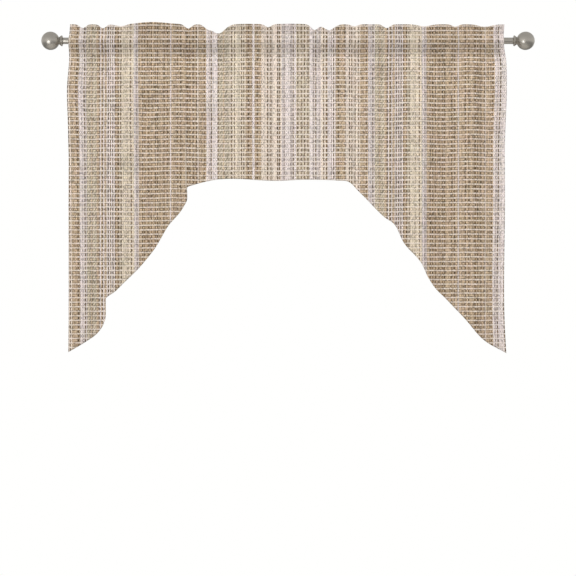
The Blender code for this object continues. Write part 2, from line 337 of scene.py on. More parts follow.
# The yarns of the warp: brown, dark brown, the bars' brown, tan, grey lilac, cream, yellow cream
# and pale lilac. Then the weft that crosses them.
YARNS = {
    "b": "#B6A086",
    "n": "#80694C",
    "d": "#7A654B",
    "t": "#BAAD98",
    "g": "#B4A59D",
    "c": "#D8C9BA",
    "y": "#D1C3AE",
    "w": "#D4C9C5",
}
WEFT_COLOUR = "#F0E4DA"
FLOAT_COLOUR = "#D6CABA"
EDGE_COLOUR = "#C4B297"
WEFT_PITCH = 12.6 * MM
WEFT_START = -160.6 * MM

# How the weave shows, as shares of a weft pitch, of a yarn's lightness or of its colour.
RAMP_STOPS = 30
PALE_YARN = 0.60
DARK_YARN = 0.16
PALE_SLUB = 0.70
DARK_SLUB = 1.05
END_CONTRAST = 0.40
SLUBS_PER_PICK = 3.0
STREAKS_APART = 3.7
ROUNDED_SHARE = 0.35
# Painted shade on each end's sides and painted highlight on its crown.
PAINTED_SIDE_SHADE = 0.74
PAINTED_CROWN_LIGHT = 1.06
OVER_UNDER = 0.10
STREAK_DEPTH = 0.08
STREAK_FADE = 0.35
STREAK_FADING = (0.5, 0.7)
NOISE_SPREAD = (0.3, 0.7)
DARK_ROW = 0.29
DARK_ROW_REACH = 0.11
DARK_ROW_DEPTH = 0.50
MIDDLE_ROW_EDGE = 0.36
MIDDLE_ROW_LIFT = 0.16
TWILL_YARN = 0.43
TWILL_REACH = 0.06
TWILL_DEPTH = 0.22
TWILL_PER_END = 0.31
TWILL_PER_PICK = -1.0
WEFT_HALF_WIDTH = 0.10
GAP_HALF_WIDTH = 0.17
WEFT_WEAKEST = 0.30
WEFT_OVER_PALE = 0.84
WEFT_OVER_DARK = 0.90
DARK_COVER_FROM = 0.6
GAP_FROM = 0.65
WEFT_BREAKS = (0.4, 1.2)
WEFT_RAGGED = 0.06
WEFT_EDGE = 0.05
WEFT_RELIEF = 0.8
FIBRE_RELIEF = 0.8
TINT_REACH = (0.08, 0.06, 0.12)
TINT_FROM = (0.96, 0.97, 0.94)
FIBRE_DEPTH = 0.08
MOTTLE_DEPTH = 0.03
# Painted shade: how much darker the doubled heading and pocket are painted, for the light the double
# weave holds back.
PAINTED_DOUBLED_SHADE = 0.855
DOUBLED_BELOW = 8.0 * MM
DOUBLED_ABOVE = 4.0 * MM

# Where the weft's own noise is read, apart from the warp's.
WEFT_CELL_LAYER = 7.0
WEFT_RUN_LAYER = 9.0

# How much of each side of the cloth is one plain colour: the floats on its reverse, the cut
# edge. And how the cloth takes the light.
PLAIN_SHARES = {
    "face": (0.0, FLOAT_COLOUR),
    "reverse": (0.5, FLOAT_COLOUR),
    "edge": (0.75, EDGE_COLOUR),
}
CLOTH_FINISH = {
    "Roughness": 0.93,
    "Specular IOR Level": 0.2,
    "Sheen Weight": 0.08,
    "Sheen Roughness": 0.5,
}

# Sizes of the patterns.
END_WANDER = 1.2 * MM
PICK_WANDER = 1.6 * MM
WANDER_SIZE = 60.0 * MM
FIBRE_SIZE = 1.2 * MM
MOTTLE_SIZE = 9.0 * MM
STREAK_LENGTH = 70.0 * MM
TINT_SIZE = 32.0 * MM
THREAD_RELIEF = 0.25 * MM
THREAD_TWIST = 0.7 * MM
BRUSH_SIZE = 0.35 * MM
CLOUD_SIZE = 30.0 * MM
NICKEL_ROUGHNESS = (0.32, 0.42)
FLOOR_CLOUD_SIZE = 1.25

# The cloth as cut, and the studio.
FLOOR_HEIGHT = -2.1
FLOOR_SIZE = 6.2
FLOOR_SOLID = 0.9
CAMERA_DISTANCE = 4.4545
CAMERA_HEIGHT = -0.6882
SOFTBOXES = named_rows(
    "name place target size power for_metal",
    ("high_front_key", (-0.2, -3.7, 2.6), (0.0, 0.0, -0.35), 2.0, 130.0, False),
    ("low_left_reflector", (-1.6, -2.9, -1.1), (-0.3, 0.0, 0.0), 1.3, 28.0, True),
)
SKY = ((0.0, 0.24), (0.36, 0.30), (0.46, 0.78), (0.60, 0.80), (0.75, 0.62), (1.0, 0.60))


def column(table, name):
    """One named column of a table, as an array."""
    return np.array([getattr(row, name) for row in table])


def ease(share):
    """Three shares squared less two shares cubed: 0 to 1 with no corner at either end."""
    share = np.clip(share, 0.0, 1.0)
    return share * share * (3.0 - 2.0 * share)


def bump(distance):
    """A bell: e to the power of minus BELL times the distance squared."""
    return np.exp(-BELL * distance * distance)


def smooth_curve(knots, values, at):
    """A smooth curve through the values at the knots: on each stretch a cubic whose slopes
    at the ends are those of the chords between the neighbouring points."""
    slopes = np.gradient(values, knots)
    i = np.clip(np.searchsorted(knots, at, side="right") - 1, 0, len(knots) - 2)
    length = knots[i + 1] - knots[i]
    t = (at - knots[i]) / length
    rise = t * t * (3.0 - 2.0 * t)
    leave = t * (1.0 - t) * (1.0 - t) * length
    arrive = -t * t * (1.0 - t) * length
    return values[i] * (1.0 - rise) + values[i + 1] * rise + slopes[i] * leave + slopes[i + 1] * arrive


def hem_threads(share):
    """For a share of the way across, the thread's place on the rod and its end (x, z) in the
    hem: a smooth curve through the hem's points, even in the length of rod and hem together."""
    thread, x, z = (column(HEM, name) for name in ("thread", "x", "z"))
    steps = np.hypot(np.diff(x), np.diff(z)) + np.diff(thread)
    knots = np.concatenate([[0.0], np.cumsum(steps)])
    at = share * knots[-1]
    return np.interp(at, knots, thread), smooth_curve(knots, x, at), smooth_curve(knots, z, at)


def edge_sway(x, z):
    """How far the cloth lies from a straight fall: each side edge's own sway, times a bell of
    the distance from that edge."""
    heights = column(SIDE_EDGES, "z")
    sway = np.zeros_like(x)
    for name, hem_point in (("left", HEM[0]), ("right", HEM[-1])):
        edge = smooth_curve(heights, column(SIDE_EDGES, name), np.clip(z, heights[0], heights[-1]))
        fall = np.clip((z - POCKET_SEAM) / (hem_point.z - POCKET_SEAM), 0.0, 1.0)
        straight = hem_point.thread + (hem_point.x - hem_point.thread) * fall
        sway += (edge - straight) * bump((x - straight) / EDGE_REACH)
    return sway


def puckers(thread, name):
    """The puckers' named column along the rod: the sum of a bell for each."""
    total = np.zeros_like(thread)
    for pucker in PUCKERS:
        total += getattr(pucker, name) * bump((thread - pucker.x) / pucker.half_width)
    return total


def flutes(x, z):
    """Depth of the folds below the pocket: a bell across each flute, eased in at its top and
    out at its bottom, and growing towards the free hem."""
    fall = np.clip(z / HEM[-1].z, 0.0, 1.0)
    depth = np.zeros_like(x)
    for flute in FLUTES:
        centre = flute.x + (flute.x_low - flute.x) * fall
        begun = ease((flute.top - z) / FLUTE_FADE + 0.5)
        ended = ease((flute.bottom - z) / FLUTE_FADE + 0.5)
        depth += flute.depth * bump((x - centre) / flute.half_width) * (begun - ended)
    growth = FLUTE_SHARE_AT_ROD + (FLUTE_SHARE_AT_TIPS - FLUTE_SHARE_AT_ROD) * fall
    return depth * growth * ease((FLUTES_START - z) / (FLUTES_START - FLUTES_FULL))


def lean(thread, z):
    """How far the puckers push the cloth over: their furrow times a share that grows from the
    heading's seam to its top, and that comes back in the creases below the pocket."""
    heading = np.clip((z - HEADING_SEAM) / (HEADING_TOP - HEADING_SEAM), 0.0, 1.0)
    begun = ease((FLUTES_START - z) / (FLUTES_START - CREASE_FULL))
    ended = ease((CREASE_FADE - z) / (CREASE_FADE - CREASE_END))
    return puckers(thread, "furrow") * (heading + CREASE_SHARE * begun * (1.0 - ended))


def fine_creases(thread, z):
    """The small creases: gathers drawn in by each seam, which are waves along the rod times a
    bell of the distance from the seam; tucks, each a bell across that is eased in under the
    rod and out below the pocket; and ripples of the free cloth, which are waves that lean as
    they fall and that grow with the distance below the pocket."""
    seams = bump((z - HEADING_SEAM) / GATHER_REACH) + bump((z - POCKET_STITCHES) / GATHER_REACH)
    free = ease((POCKET_SEAM - z) / RIPPLE_REACH)
    sewn = ease((TUCK_TOP - z) / (TUCK_TOP - TUCK_FULL))
    sewn *= 1.0 - ease((TUCK_FULL - z) / (TUCK_FULL - TUCK_END))
    depth = np.zeros_like(thread)
    for tuck in TUCKS:
        depth += tuck.depth * sewn * bump((thread - tuck.x) / tuck.half_width)
    for wave in GATHERS:
        depth += wave.height * seams * np.sin(math.tau * thread / wave.length + wave.phase)
    for wave in RIPPLES:
        turn = math.tau * (thread + wave.lean * z) / wave.length + wave.phase
        depth += wave.height * free * np.sin(turn)
    return depth


def fall(thread, x, z):
    """How far towards the wall the cloth hangs: its furrows, flutes and fine creases."""
    return lean(thread, z) + flutes(x, z) + fine_creases(thread, z)


def half_gap(thread, z):
    """Half the distance between the layers: the seam's gap, swelling to the rod's radius on a
    squared cosine from either seam, and drawn in by a bell at each row of stitches."""
    reach = np.clip(np.maximum(z / HEADING_SEAM, z / POCKET_SEAM), 0.0, 1.0)
    swell = np.cos(0.5 * math.pi * reach) ** 2
    drawn = np.clip(puckers(thread, "furrow") / max(column(PUCKERS, "furrow")), 0.0, 1.0)
    at_rod = ROD_RADIUS + SOLID_THICKNESS / 2.0 + ROD_CLEARANCE + PUFF * (1.0 - drawn)
    gap = LAYER_HALF_GAP + swell * (at_rod - LAYER_HALF_GAP)
    for seam in (HEADING_SEAM, POCKET_STITCHES):
        gap -= SEAM_DRAW * bump((z - seam) / SEAM_REACH)
    return gap


def cloth_point(across, row):
    """The middle of the cloth (x, y, z) and its place in the flat cloth (u, v).
    Height is the sum of the bands of rows passed so far; the roll at the top of the heading
    turns the thread from the front layer (side -1) to the back one (side +1). The flat place
    is x less the sway at the edges, with what the folds take up eased in at the left side, and
    the height with a share of the puckers' drop taken out again, counted on downwards behind
    the top."""
    starts = np.cumsum([0, BODY_ROWS, POCKET_ROWS, HEADING_ROWS, ROLL_ROWS, HEADING_ROWS])
    lengths = (BODY_ROWS, POCKET_ROWS, HEADING_ROWS, ROLL_ROWS, HEADING_ROWS, POCKET_ROWS)
    body, pocket_up, heading_up, roll, heading_down, pocket_down = (
        np.clip((row - start) / length, 0.0, 1.0) for start, length in zip(starts, lengths)
    )
    thread, hem_x, hem_z = hem_threads(across)
    drop = puckers(thread, "drop")
    crown = HEADING_TOP - drop - LAYER_HALF_GAP
    level = hem_z + body * (POCKET_SEAM - hem_z)
    pocket = np.sin(0.5 * math.pi * pocket_up) - (1.0 - np.cos(0.5 * math.pi * pocket_down))
    level += pocket * (HEADING_SEAM - POCKET_SEAM)
    level += (heading_up - heading_down) * (crown - HEADING_SEAM)
    flat_x = hem_x + (thread - hem_x) * body
    x = flat_x + edge_sway(flat_x, level)
    side = -np.cos(math.pi * roll)
    y = fall(thread, x, level) + side * half_gap(thread, level)
    z = level + LAYER_HALF_GAP * np.sin(math.pi * roll)
    drawn = DRAWN_SHARE * drop * ease((level - HEADING_SEAM) / (HEADING_TOP - HEADING_SEAM))
    top = HEADING_TOP - LAYER_HALF_GAP
    u = flat_x + TAKE_UP * ease((flat_x - TAKE_UP_START) / (TAKE_UP_FULL - TAKE_UP_START))
    v = top + np.where(side < 0.0, level + drawn - top, top - level - drawn)
    return x, y, z, u, v


def grid_faces(columns, rows):
    """The quads of a grid of (rows + 1) by (columns + 1) points laid out row by row."""
    corner = np.arange(rows)[:, None] * (columns + 1) + np.arange(columns)[None, :]
    corner = corner.ravel()
    return np.stack([corner, corner + 1, corner + columns + 2, corner + columns + 1], axis=1)


def make_mesh(name, points, faces, flat=None):
    """A named mesh object of the points and faces, at the origin, with a map of the flat
    cloth in metres where flat gives each point's (u, v)."""
    mesh = bpy.data.meshes.new(name)
    mesh.from_pydata(points.tolist(), [], faces.tolist())
    mesh.shade_smooth()
    if flat is not None:
        corner_points = np.empty(len(mesh.loops), np.int32)
        mesh.loops.foreach_get("vertex_index", corner_points)
        layer = mesh.uv_layers.new(name="flat_cloth")
        layer.data.foreach_set("uv", flat[corner_points].astype(np.float32).ravel())
    piece = bpy.data.objects.new(name, mesh)
    bpy.context.scene.collection.objects.link(piece)
    return piece


def warp_runs():
    """The stripes as (first end, colour) for each run of one yarn, and the ends in a repeat."""
    runs, end = [], 0
    for stripe in STRIPES:
        edge = end + round(stripe.width / WARP_END)
        for run in cycle(ORDERS[stripe.kind].split()):
            runs.append((end, YARNS[run[0]]))
            end = min(end + int(run[1:]), edge)
            if end == edge:
                break
    return runs, end


def hang_sheet():
    """The cloth: cloth_point on an even grid of threads and rows, given its thickness on both
    sides of that middle surface. The face, the reverse and the cut edge are slots 0 to 2."""
    across, row = np.meshgrid(np.linspace(0.0, 1.0, COLUMNS + 1), np.arange(SHEET_ROWS + 1.0))
    x, y, z, u, v = (values.ravel() for values in cloth_point(across, row))
    flat = np.stack([u, v], axis=1)
    faces = grid_faces(COLUMNS, SHEET_ROWS)
    piece = make_mesh("hung_cloth", np.stack([x, y, z], axis=1), faces, flat)
    for finish in (woven_cloth("face"), woven_cloth("reverse"), woven_cloth("edge")):
        piece.data.materials.append(finish)
    thicken = piece.modifiers.new("thickness", "SOLIDIFY")
    thicken.thickness = SHEET_THICKNESS
    thicken.offset = 0.0
    thicken.material_offset = 1
    thicken.material_offset_rim = 2
    return piece


def hem_lines():
    """The cloth's free edge, down the left side, along the hem and up the right side, and the
    line HEM_WIDTH inside it, matched point to point. A point inside is its edge point plus
    the width times the edge's left-hand normal, taken over a few steps; at each tip it is
    where the two lines inside meet, and edge points closer than that to the tip are left out."""
    rows = np.linspace(BODY_ROWS, 0.0, SIDE_SAMPLES)
    paths = (
        (np.zeros(SIDE_SAMPLES), rows),
        (np.linspace(0.0, 1.0, HEM_SAMPLES), np.zeros(HEM_SAMPLES)),
        (np.ones(SIDE_SAMPLES), rows[::-1]),
    )
    edges = []
    for across, row in paths:
        x, _, z, _, _ = cloth_point(across, row)
        way = np.concatenate([[0.0], np.cumsum(np.hypot(np.diff(x), np.diff(z)))])
        even = np.linspace(0.0, way[-1], int(way[-1] / PATH_STEP) + 1)
        edges.append(np.stack([np.interp(even, way, x), np.interp(even, way, z)], axis=1))
    normals = []
    for edge in edges:
        reach = np.arange(len(edge))[:, None] + np.array([-NORMAL_REACH, NORMAL_REACH])
        reach = np.clip(reach, 0, len(edge) - 1)
        along = edge[reach[:, 1]] - edge[reach[:, 0]]
        along /= np.linalg.norm(along, axis=1, keepdims=True)
        normals.append(np.stack([-along[:, 1], along[:, 0]], axis=1))
    mitres = []
    for before, after in ((0, 1), (1, 2)):
        one, other = normals[before][-MITRE_STEPS], normals[after][MITRE_STEPS - 1]
        mitres.append((one + other) / (1.0 + one @ other))
    tips = edges[1][0], edges[1][-1]
    outer, inner = [], []
    for place, (edge, normal) in enumerate(zip(edges, normals)):
        keep = np.ones(len(edge), bool)
        for tip, mitre in zip(tips, mitres):
            reach = HEM_WIDTH * math.sqrt(mitre @ mitre - 1.0)
            keep &= np.linalg.norm(edge - tip, axis=1) > reach
        outer.append(edge[keep])
        inner.append(edge[keep] + HEM_WIDTH * normal[keep])
        if place < 2:
            outer.append(tips[place][None])
            inner.append(outer[-1] + HEM_WIDTH * mitres[place])
    outer, inner = np.concatenate(outer), np.concatenate(inner)
    outer += (inner - outer) * HEM_INSET / HEM_WIDTH
    way = np.concatenate([[0.0], np.cumsum(np.linalg.norm(np.diff(outer, axis=0), axis=1))])
    return way, outer, inner


def between_lines(lines, way, share):
    """The (x, z) a share of the way from the edge line to the inner one, at each distance
    along the edge, and the same share past the edge, as the cloth lay before it was turned."""
    knots, outer, inner = lines
    edge, inside = (
        np.stack([np.interp(way, knots, line[:, i]) for i in (0, 1)], axis=-1)
        for line in (outer, inner)
    )
    step = (inside - edge) * share[..., None]
    return edge + step, edge - step


def sheet_under(sheet, x, z):
    """Where the middle surface of the sheet lies on Y at each (x, z), met from the front, and
    the share of its normal on Y, by which a clearance from it is divided. Past the edge the
    nearest point of the sheet counts."""
    corners = [vertex.co for vertex in sheet.data.vertices]
    surface = BVHTree.FromPolygons(corners, [face.vertices for face in sheet.data.polygons])
    depths, facing = [], []
    for place_x, place_z in zip(x, z):
        met = surface.ray_cast((place_x, -1.0, place_z), (0.0, 1.0, 0.0))
        if met[0] is None:
            met = surface.find_nearest((place_x, 0.0, place_z))
        depths.append(met[0].y)
        facing.append(max(abs(met[1].y), STEEPEST_FACING))
    return np.array(depths), np.array(facing)


def hem_turning(sheet, lines):
    """The turned edge on the reverse: a strip between the edge and the inner line, lying on
    the cloth. Its print is what lay past the edge, so it runs on mirrored."""
    columns = int(lines[0][-1] / PATH_STEP)
    inward = np.linspace(0.0, 1.0, TURNING_COLUMNS + 1)
    share, way = np.meshgrid(inward, np.linspace(0.0, lines[0][-1], columns + 1))
    place, unturned = between_lines(lines, way, share)
    x, z = place[..., 0].ravel(), place[..., 1].ravel()
    behind = 0.5 * (SHEET_THICKNESS + TURNING_THICKNESS) + 0.05 * MM
    depth, facing = sheet_under(sheet, x, z)
    y = depth + behind / facing
    points = np.stack([x, y, z], axis=1)
    faces = grid_faces(TURNING_COLUMNS, columns)
    piece = make_mesh("turned_hem", points, faces, unturned.reshape(-1, 2))
    for finish in ("face", "edge"):
        piece.data.materials.append(bpy.data.materials["woven_cloth_" + finish])
    thicken = piece.modifiers.new("thickness", "SOLIDIFY")
    thicken.thickness = TURNING_THICKNESS
    thicken.offset = 0.0
    thicken.material_offset_rim = 1
    return piece


def stitch_row(centres, along, out):
    """Stitches at the centres: each a spindle with a point at either end and three rings of
    four points between, whose radii follow a half sine of the way along; along and out are
    unit directions, and every stitch is one copy of the same spindle."""
    shares = np.repeat([-1.0, -0.62, 0.0, 0.62, 1.0], (1, 4, 4, 4, 1))
    turns = np.concatenate([[0.0], np.tile(np.arange(4) * math.pi / 2.0, 3), [0.0]])
    radii = STITCH_RADIUS * np.cos(0.5 * math.pi * shares) ** 0.6
    across = np.cross(along, out)
    points = (
        centres[:, None]
        + along[:, None] * (shares * STITCH_LENGTH / 2.0)[None, :, None]
        + out[:, None] * (radii * np.cos(turns))[None, :, None]
        + across[:, None] * (radii * np.sin(turns))[None, :, None]
    )
    ring = np.arange(4)
    after = (ring + 1) % 4
    sides = [np.stack([b + ring, b + after, b + 4 + after, b + 4 + ring], 1) for b in (1, 5)]
    quads = np.concatenate(sides)
    ends = np.concatenate(
        [
            np.stack([np.zeros(4, int), 1 + after, 1 + ring], 1),
            np.stack([np.full(4, 13), 9 + ring, 9 + after], 1),
        ]
    )
    first = np.arange(len(centres))[:, None, None] * 14
    return points.reshape(-1, 3), (quads + first).reshape(-1, 4), (ends + first).reshape(-1, 3)


def stitch_rows(sheet, lines):
    """Every row of stitches as one mesh: both seams of the pocket, on the front and behind,
    and the hem's row, on the face and on the turning."""
    rows = []
    clear = STITCH_RADIUS - STITCH_SINK
    count = int((HEM[-1].thread - HEM[0].thread) / STITCH_PITCH) - 4
    thread = (np.arange(count) - (count - 1) / 2.0) * STITCH_PITCH
    for seam in (HEADING_SEAM, POCKET_STITCHES):
        level = np.full(count, seam)
        for side in (-1.0, 1.0):
            x = thread + edge_sway(thread, level)
            y = fall(thread, x, level)
            y += side * (half_gap(thread, level) + SHEET_THICKNESS / 2.0 + clear)
            rows.append((np.stack([x, y, level], axis=1), side))
    count = int(lines[0][-1] / STITCH_PITCH) - 2
    way = (np.arange(count) + 1.5) * STITCH_PITCH
    place, _ = between_lines(lines, way, np.full(count, HEM_STITCHES / HEM_WIDTH))
    x, z = place[:, 0], place[:, 1]
    middle, facing = sheet_under(sheet, x, z)
    for side, proud in ((-1.0, 0.0), (1.0, TURNING_THICKNESS + 0.05 * MM)):
        y = middle + side * (SHEET_THICKNESS / 2.0 + proud + clear) / facing
        rows.append((np.stack([x, y, z], axis=1), side))
    points, quads, ends, first = [], [], [], 0
    for centres, side in rows:
        along = np.gradient(centres, axis=0)
        along /= np.linalg.norm(along, axis=1, keepdims=True)
        room = np.tile([0.0, side, 0.0], (len(centres), 1))
        out = room - along * (along * room).sum(axis=1, keepdims=True)
        out /= np.linalg.norm(out, axis=1, keepdims=True)
        made, four, three = stitch_row(centres, along, out)
        points.append(made)
        quads.append(four + first)
        ends.append(three + first)
        first += len(made)
    mesh = bpy.data.meshes.new("lock_stitches")
    faces = np.concatenate(quads).tolist() + np.concatenate(ends).tolist()
    mesh.from_pydata(np.concatenate(points).tolist(), [], faces)
    mesh.shade_smooth()
    piece = bpy.data.objects.new("lock_stitches", mesh)
    bpy.context.scene.collection.objects.link(piece)
    piece.data.materials.append(sewing_thread())
    return piece


def turned(name, profile, side):
    """A piece turned about the rod's axis: each (along, radius) of the profile makes a ring of
    TURNED_SIDES points, at along times side on X. The profile runs along the outer side from
    the near end to the far one, and back inside; a radius of nought closes the end."""
    along, radius = np.array(profile).T
    turn = np.arange(TURNED_SIDES) * math.tau / TURNED_SIDES
    x = np.repeat(along * side, TURNED_SIDES)
    y = np.outer(radius, np.cos(turn)).ravel()
    z = np.outer(radius, np.sin(turn)).ravel()
    ring = np.arange(len(profile) - 1)[:, None] * TURNED_SIDES
    here = np.arange(TURNED_SIDES)
    after = (here + 1) % TURNED_SIDES
    order = (ring + here, ring + TURNED_SIDES + here, ring + TURNED_SIDES + after, ring + after)
    faces = np.stack([corner.ravel() for corner in (order if side < 0 else order[::-1])], axis=1)
    piece = make_mesh(name, np.stack([x, y, z], axis=1), faces)
    bm = bmesh.new()
    bm.from_mesh(piece.data)
    bmesh.ops.remove_doubles(bm, verts=bm.verts, dist=WELD_REACH)
    bmesh.ops.dissolve_degenerate(bm, edges=bm.edges, dist=WELD_REACH)
    bmesh.ops.recalc_face_normals(bm, faces=bm.faces)
    bm.to_mesh(piece.data)
    bm.free()
    piece.data.shade_smooth()
    piece.data.set_sharp_from_angle(angle=math.radians(SHARP_ANGLE))
    piece.data.materials.append(satin_nickel())
    return piece


def rounded(corner, before, after, size):
    """Three points round a corner of a profile: size back along each side of it, and the
    middle of the arc between."""
    corner, before, after = (np.array(point, float) for point in (corner, before, after))
    one = corner + (before - corner) * size / np.linalg.norm(before - corner)
    other = corner + (after - corner) * size / np.linalg.norm(after - corner)
    return [tuple(one), tuple(0.25 * one + 0.5 * corner + 0.25 * other), tuple(other)]


def eased_profile(points, size):
    """The profile with every corner but its first and last rounded over."""
    eased = [points[0]]
    for before, corner, after in zip(points, points[1:], points[2:]):
        eased += rounded(corner, before, after, size)
    return eased + [points[-1]]


def curtain_rod():
    """The tube: its outer wall from end to end and back along the inner one."""
    inner = ROD_RADIUS - ROD_WALL
    middle = (-ROD_HALF_LENGTH + 0.5 * ROD_WALL, inner)
    points = [
        middle,
        (-ROD_HALF_LENGTH, inner),
        (-ROD_HALF_LENGTH, ROD_RADIUS),
        (ROD_HALF_LENGTH, ROD_RADIUS),
        (ROD_HALF_LENGTH, inner),
        middle,
    ]
    return turned("curtain_rod_tube", eased_profile(points, TUBE_ROUND), 1)


def rod_collar(name, side):
    """The ring at the tube's end: a short slope up to a narrow rim, and a long one down."""
    bore = ROD_RADIUS - ROD_WALL
    rim = COLLAR_NEAR + COLLAR_NEAR_SLOPE
    middle = (0.5 * (COLLAR_NEAR + COLLAR_FAR), bore)
    points = [
        middle,
        (COLLAR_NEAR, bore),
        (COLLAR_NEAR, COLLAR_NEAR_RADIUS),
        (rim, COLLAR_RADIUS),
        (rim + COLLAR_RIM, COLLAR_RADIUS),
        (COLLAR_FAR, COLLAR_FAR_RADIUS),
        (COLLAR_FAR, bore),
        middle,
    ]
    return turned(name, eased_profile(points, EDGE_ROUND), side)


def ball_finial(name, side):
    """The ball, a circular arc from its pole to the neck, with a short fillet into the neck,
    and the plug that goes through the collar into the tube."""
    centre = BALL_END - BALL_RADIUS
    shoulder = COLLAR_FAR + FIT_GAP
    plug_end = ROD_HALF_LENGTH - PLUG_DEPTH
    plug_radius = ROD_RADIUS - ROD_WALL - FIT_GAP
    fillet = NECK_RADIUS + NECK_FILLET
    arc = np.linspace(math.pi - math.asin(fillet / BALL_RADIUS), 0.0, BALL_ARCS)
    points = [
        (plug_end, 0.0),
        (plug_end, plug_radius),
        (shoulder, plug_radius),
        (shoulder, NECK_RADIUS - EDGE_ROUND),
        (shoulder + EDGE_ROUND, NECK_RADIUS),
        (centre - math.sqrt(BALL_RADIUS**2 - fillet**2) - NECK_FILLET, NECK_RADIUS + FILLET_SWELL),
    ]
    points += [(centre + BALL_RADIUS * math.cos(a), BALL_RADIUS * math.sin(a)) for a in arc]
    return turned(name, points, side)


def linear(colour):
    """An sRGB hex colour as linear RGBA."""
    parts = [int(colour[i : i + 2], 16) / 255.0 for i in (1, 3, 5)]
    return (*(p / 12.92 if p <= 0.04045 else ((p + 0.055) / 1.055) ** 2.4 for p in parts), 1.0)


def feed(made, inputs):
    """Fill a node's inputs, in order or by name. Each is a value, or the socket that feeds it,
    or the node whose first output does."""
    for key, value in inputs.items() if isinstance(inputs, dict) else enumerate(inputs):
        if isinstance(value, bpy.types.Node):
            value = value.outputs[0]
        if isinstance(value, bpy.types.NodeSocket):
            made.id_data.links.new(value, made.inputs[key])
        else:
            made.inputs[key].default_value = value


def node(tree, kind, inputs=(), **settings):
    """A node with its settings and its inputs."""
    made = tree.nodes.new(kind)
    for name, value in settings.items():
        setattr(made, name, value)
    feed(made, inputs)
    return made


def maths(tree, operation, *inputs):
    """A math node's result, for its operation and its inputs in order."""
    return node(tree, "ShaderNodeMath", inputs, operation=operation)


def mixed(tree, share, one, other):
    """A share of the way from one colour to another."""
    inputs = {0: share, 6: one, 7: other}
    return node(tree, "ShaderNodeMix", inputs, data_type="RGBA").outputs[2]


def product(tree, *factors):
    """The product of several values, multiplied in order."""
    result = factors[0]
    for factor in factors[1:]:
        result = maths(tree, "MULTIPLY", result, factor)
    return result


def ranged(tree, value, before, after, smooth=False):
    """A value carried from one range to another and held at the ends, eased where smooth."""
    inputs = {"Value": value, "From Min": before[0], "From Max": before[1]}
    inputs.update({"To Min": after[0], "To Max": after[1]})
    easing = "SMOOTHSTEP" if smooth else "LINEAR"
    return node(tree, "ShaderNodeMapRange", inputs, interpolation_type=easing)


def noise(tree, place, size, detail):
    """Soft noise in patches of a size."""
    inputs = {"Vector": place, "Scale": 1.0 / size, "Detail": detail}
    return node(tree, "ShaderNodeTexNoise", inputs)


def new_material(name):
    """A node material, with its tree and its principled shader."""
    material = bpy.data.materials.new(name)
    material.use_nodes = True
    return material, material.node_tree, material.node_tree.nodes["Principled BSDF"]


def warp_colour(tree, phase, repeat, runs):
    """The warp's colour at a phase of the repeat. A ramp holds RAMP_STOPS colours at most, so
    the runs are dealt out to several, and each ramp takes over where its first run starts."""
    colour = None
    for first in range(0, len(runs), RAMP_STOPS):
        ramp = node(tree, "ShaderNodeValToRGB", {"Fac": phase})
        ramp.color_ramp.interpolation = "CONSTANT"
        stops = ramp.color_ramp.elements
        stops.remove(stops[1])
        for place, (end, yarn) in enumerate(runs[first : first + RAMP_STOPS]):
            stop = stops.new(end / repeat) if place else stops[0]
            stop.position = end / repeat
            stop.color = linear(yarn)
        if colour is None:
            colour = ramp.outputs[0]
        else:
            start = runs[first][0] / repeat
            past = maths(tree, "GREATER_THAN", phase, start)
            colour = mixed(tree, past, colour, ramp)
    return colour


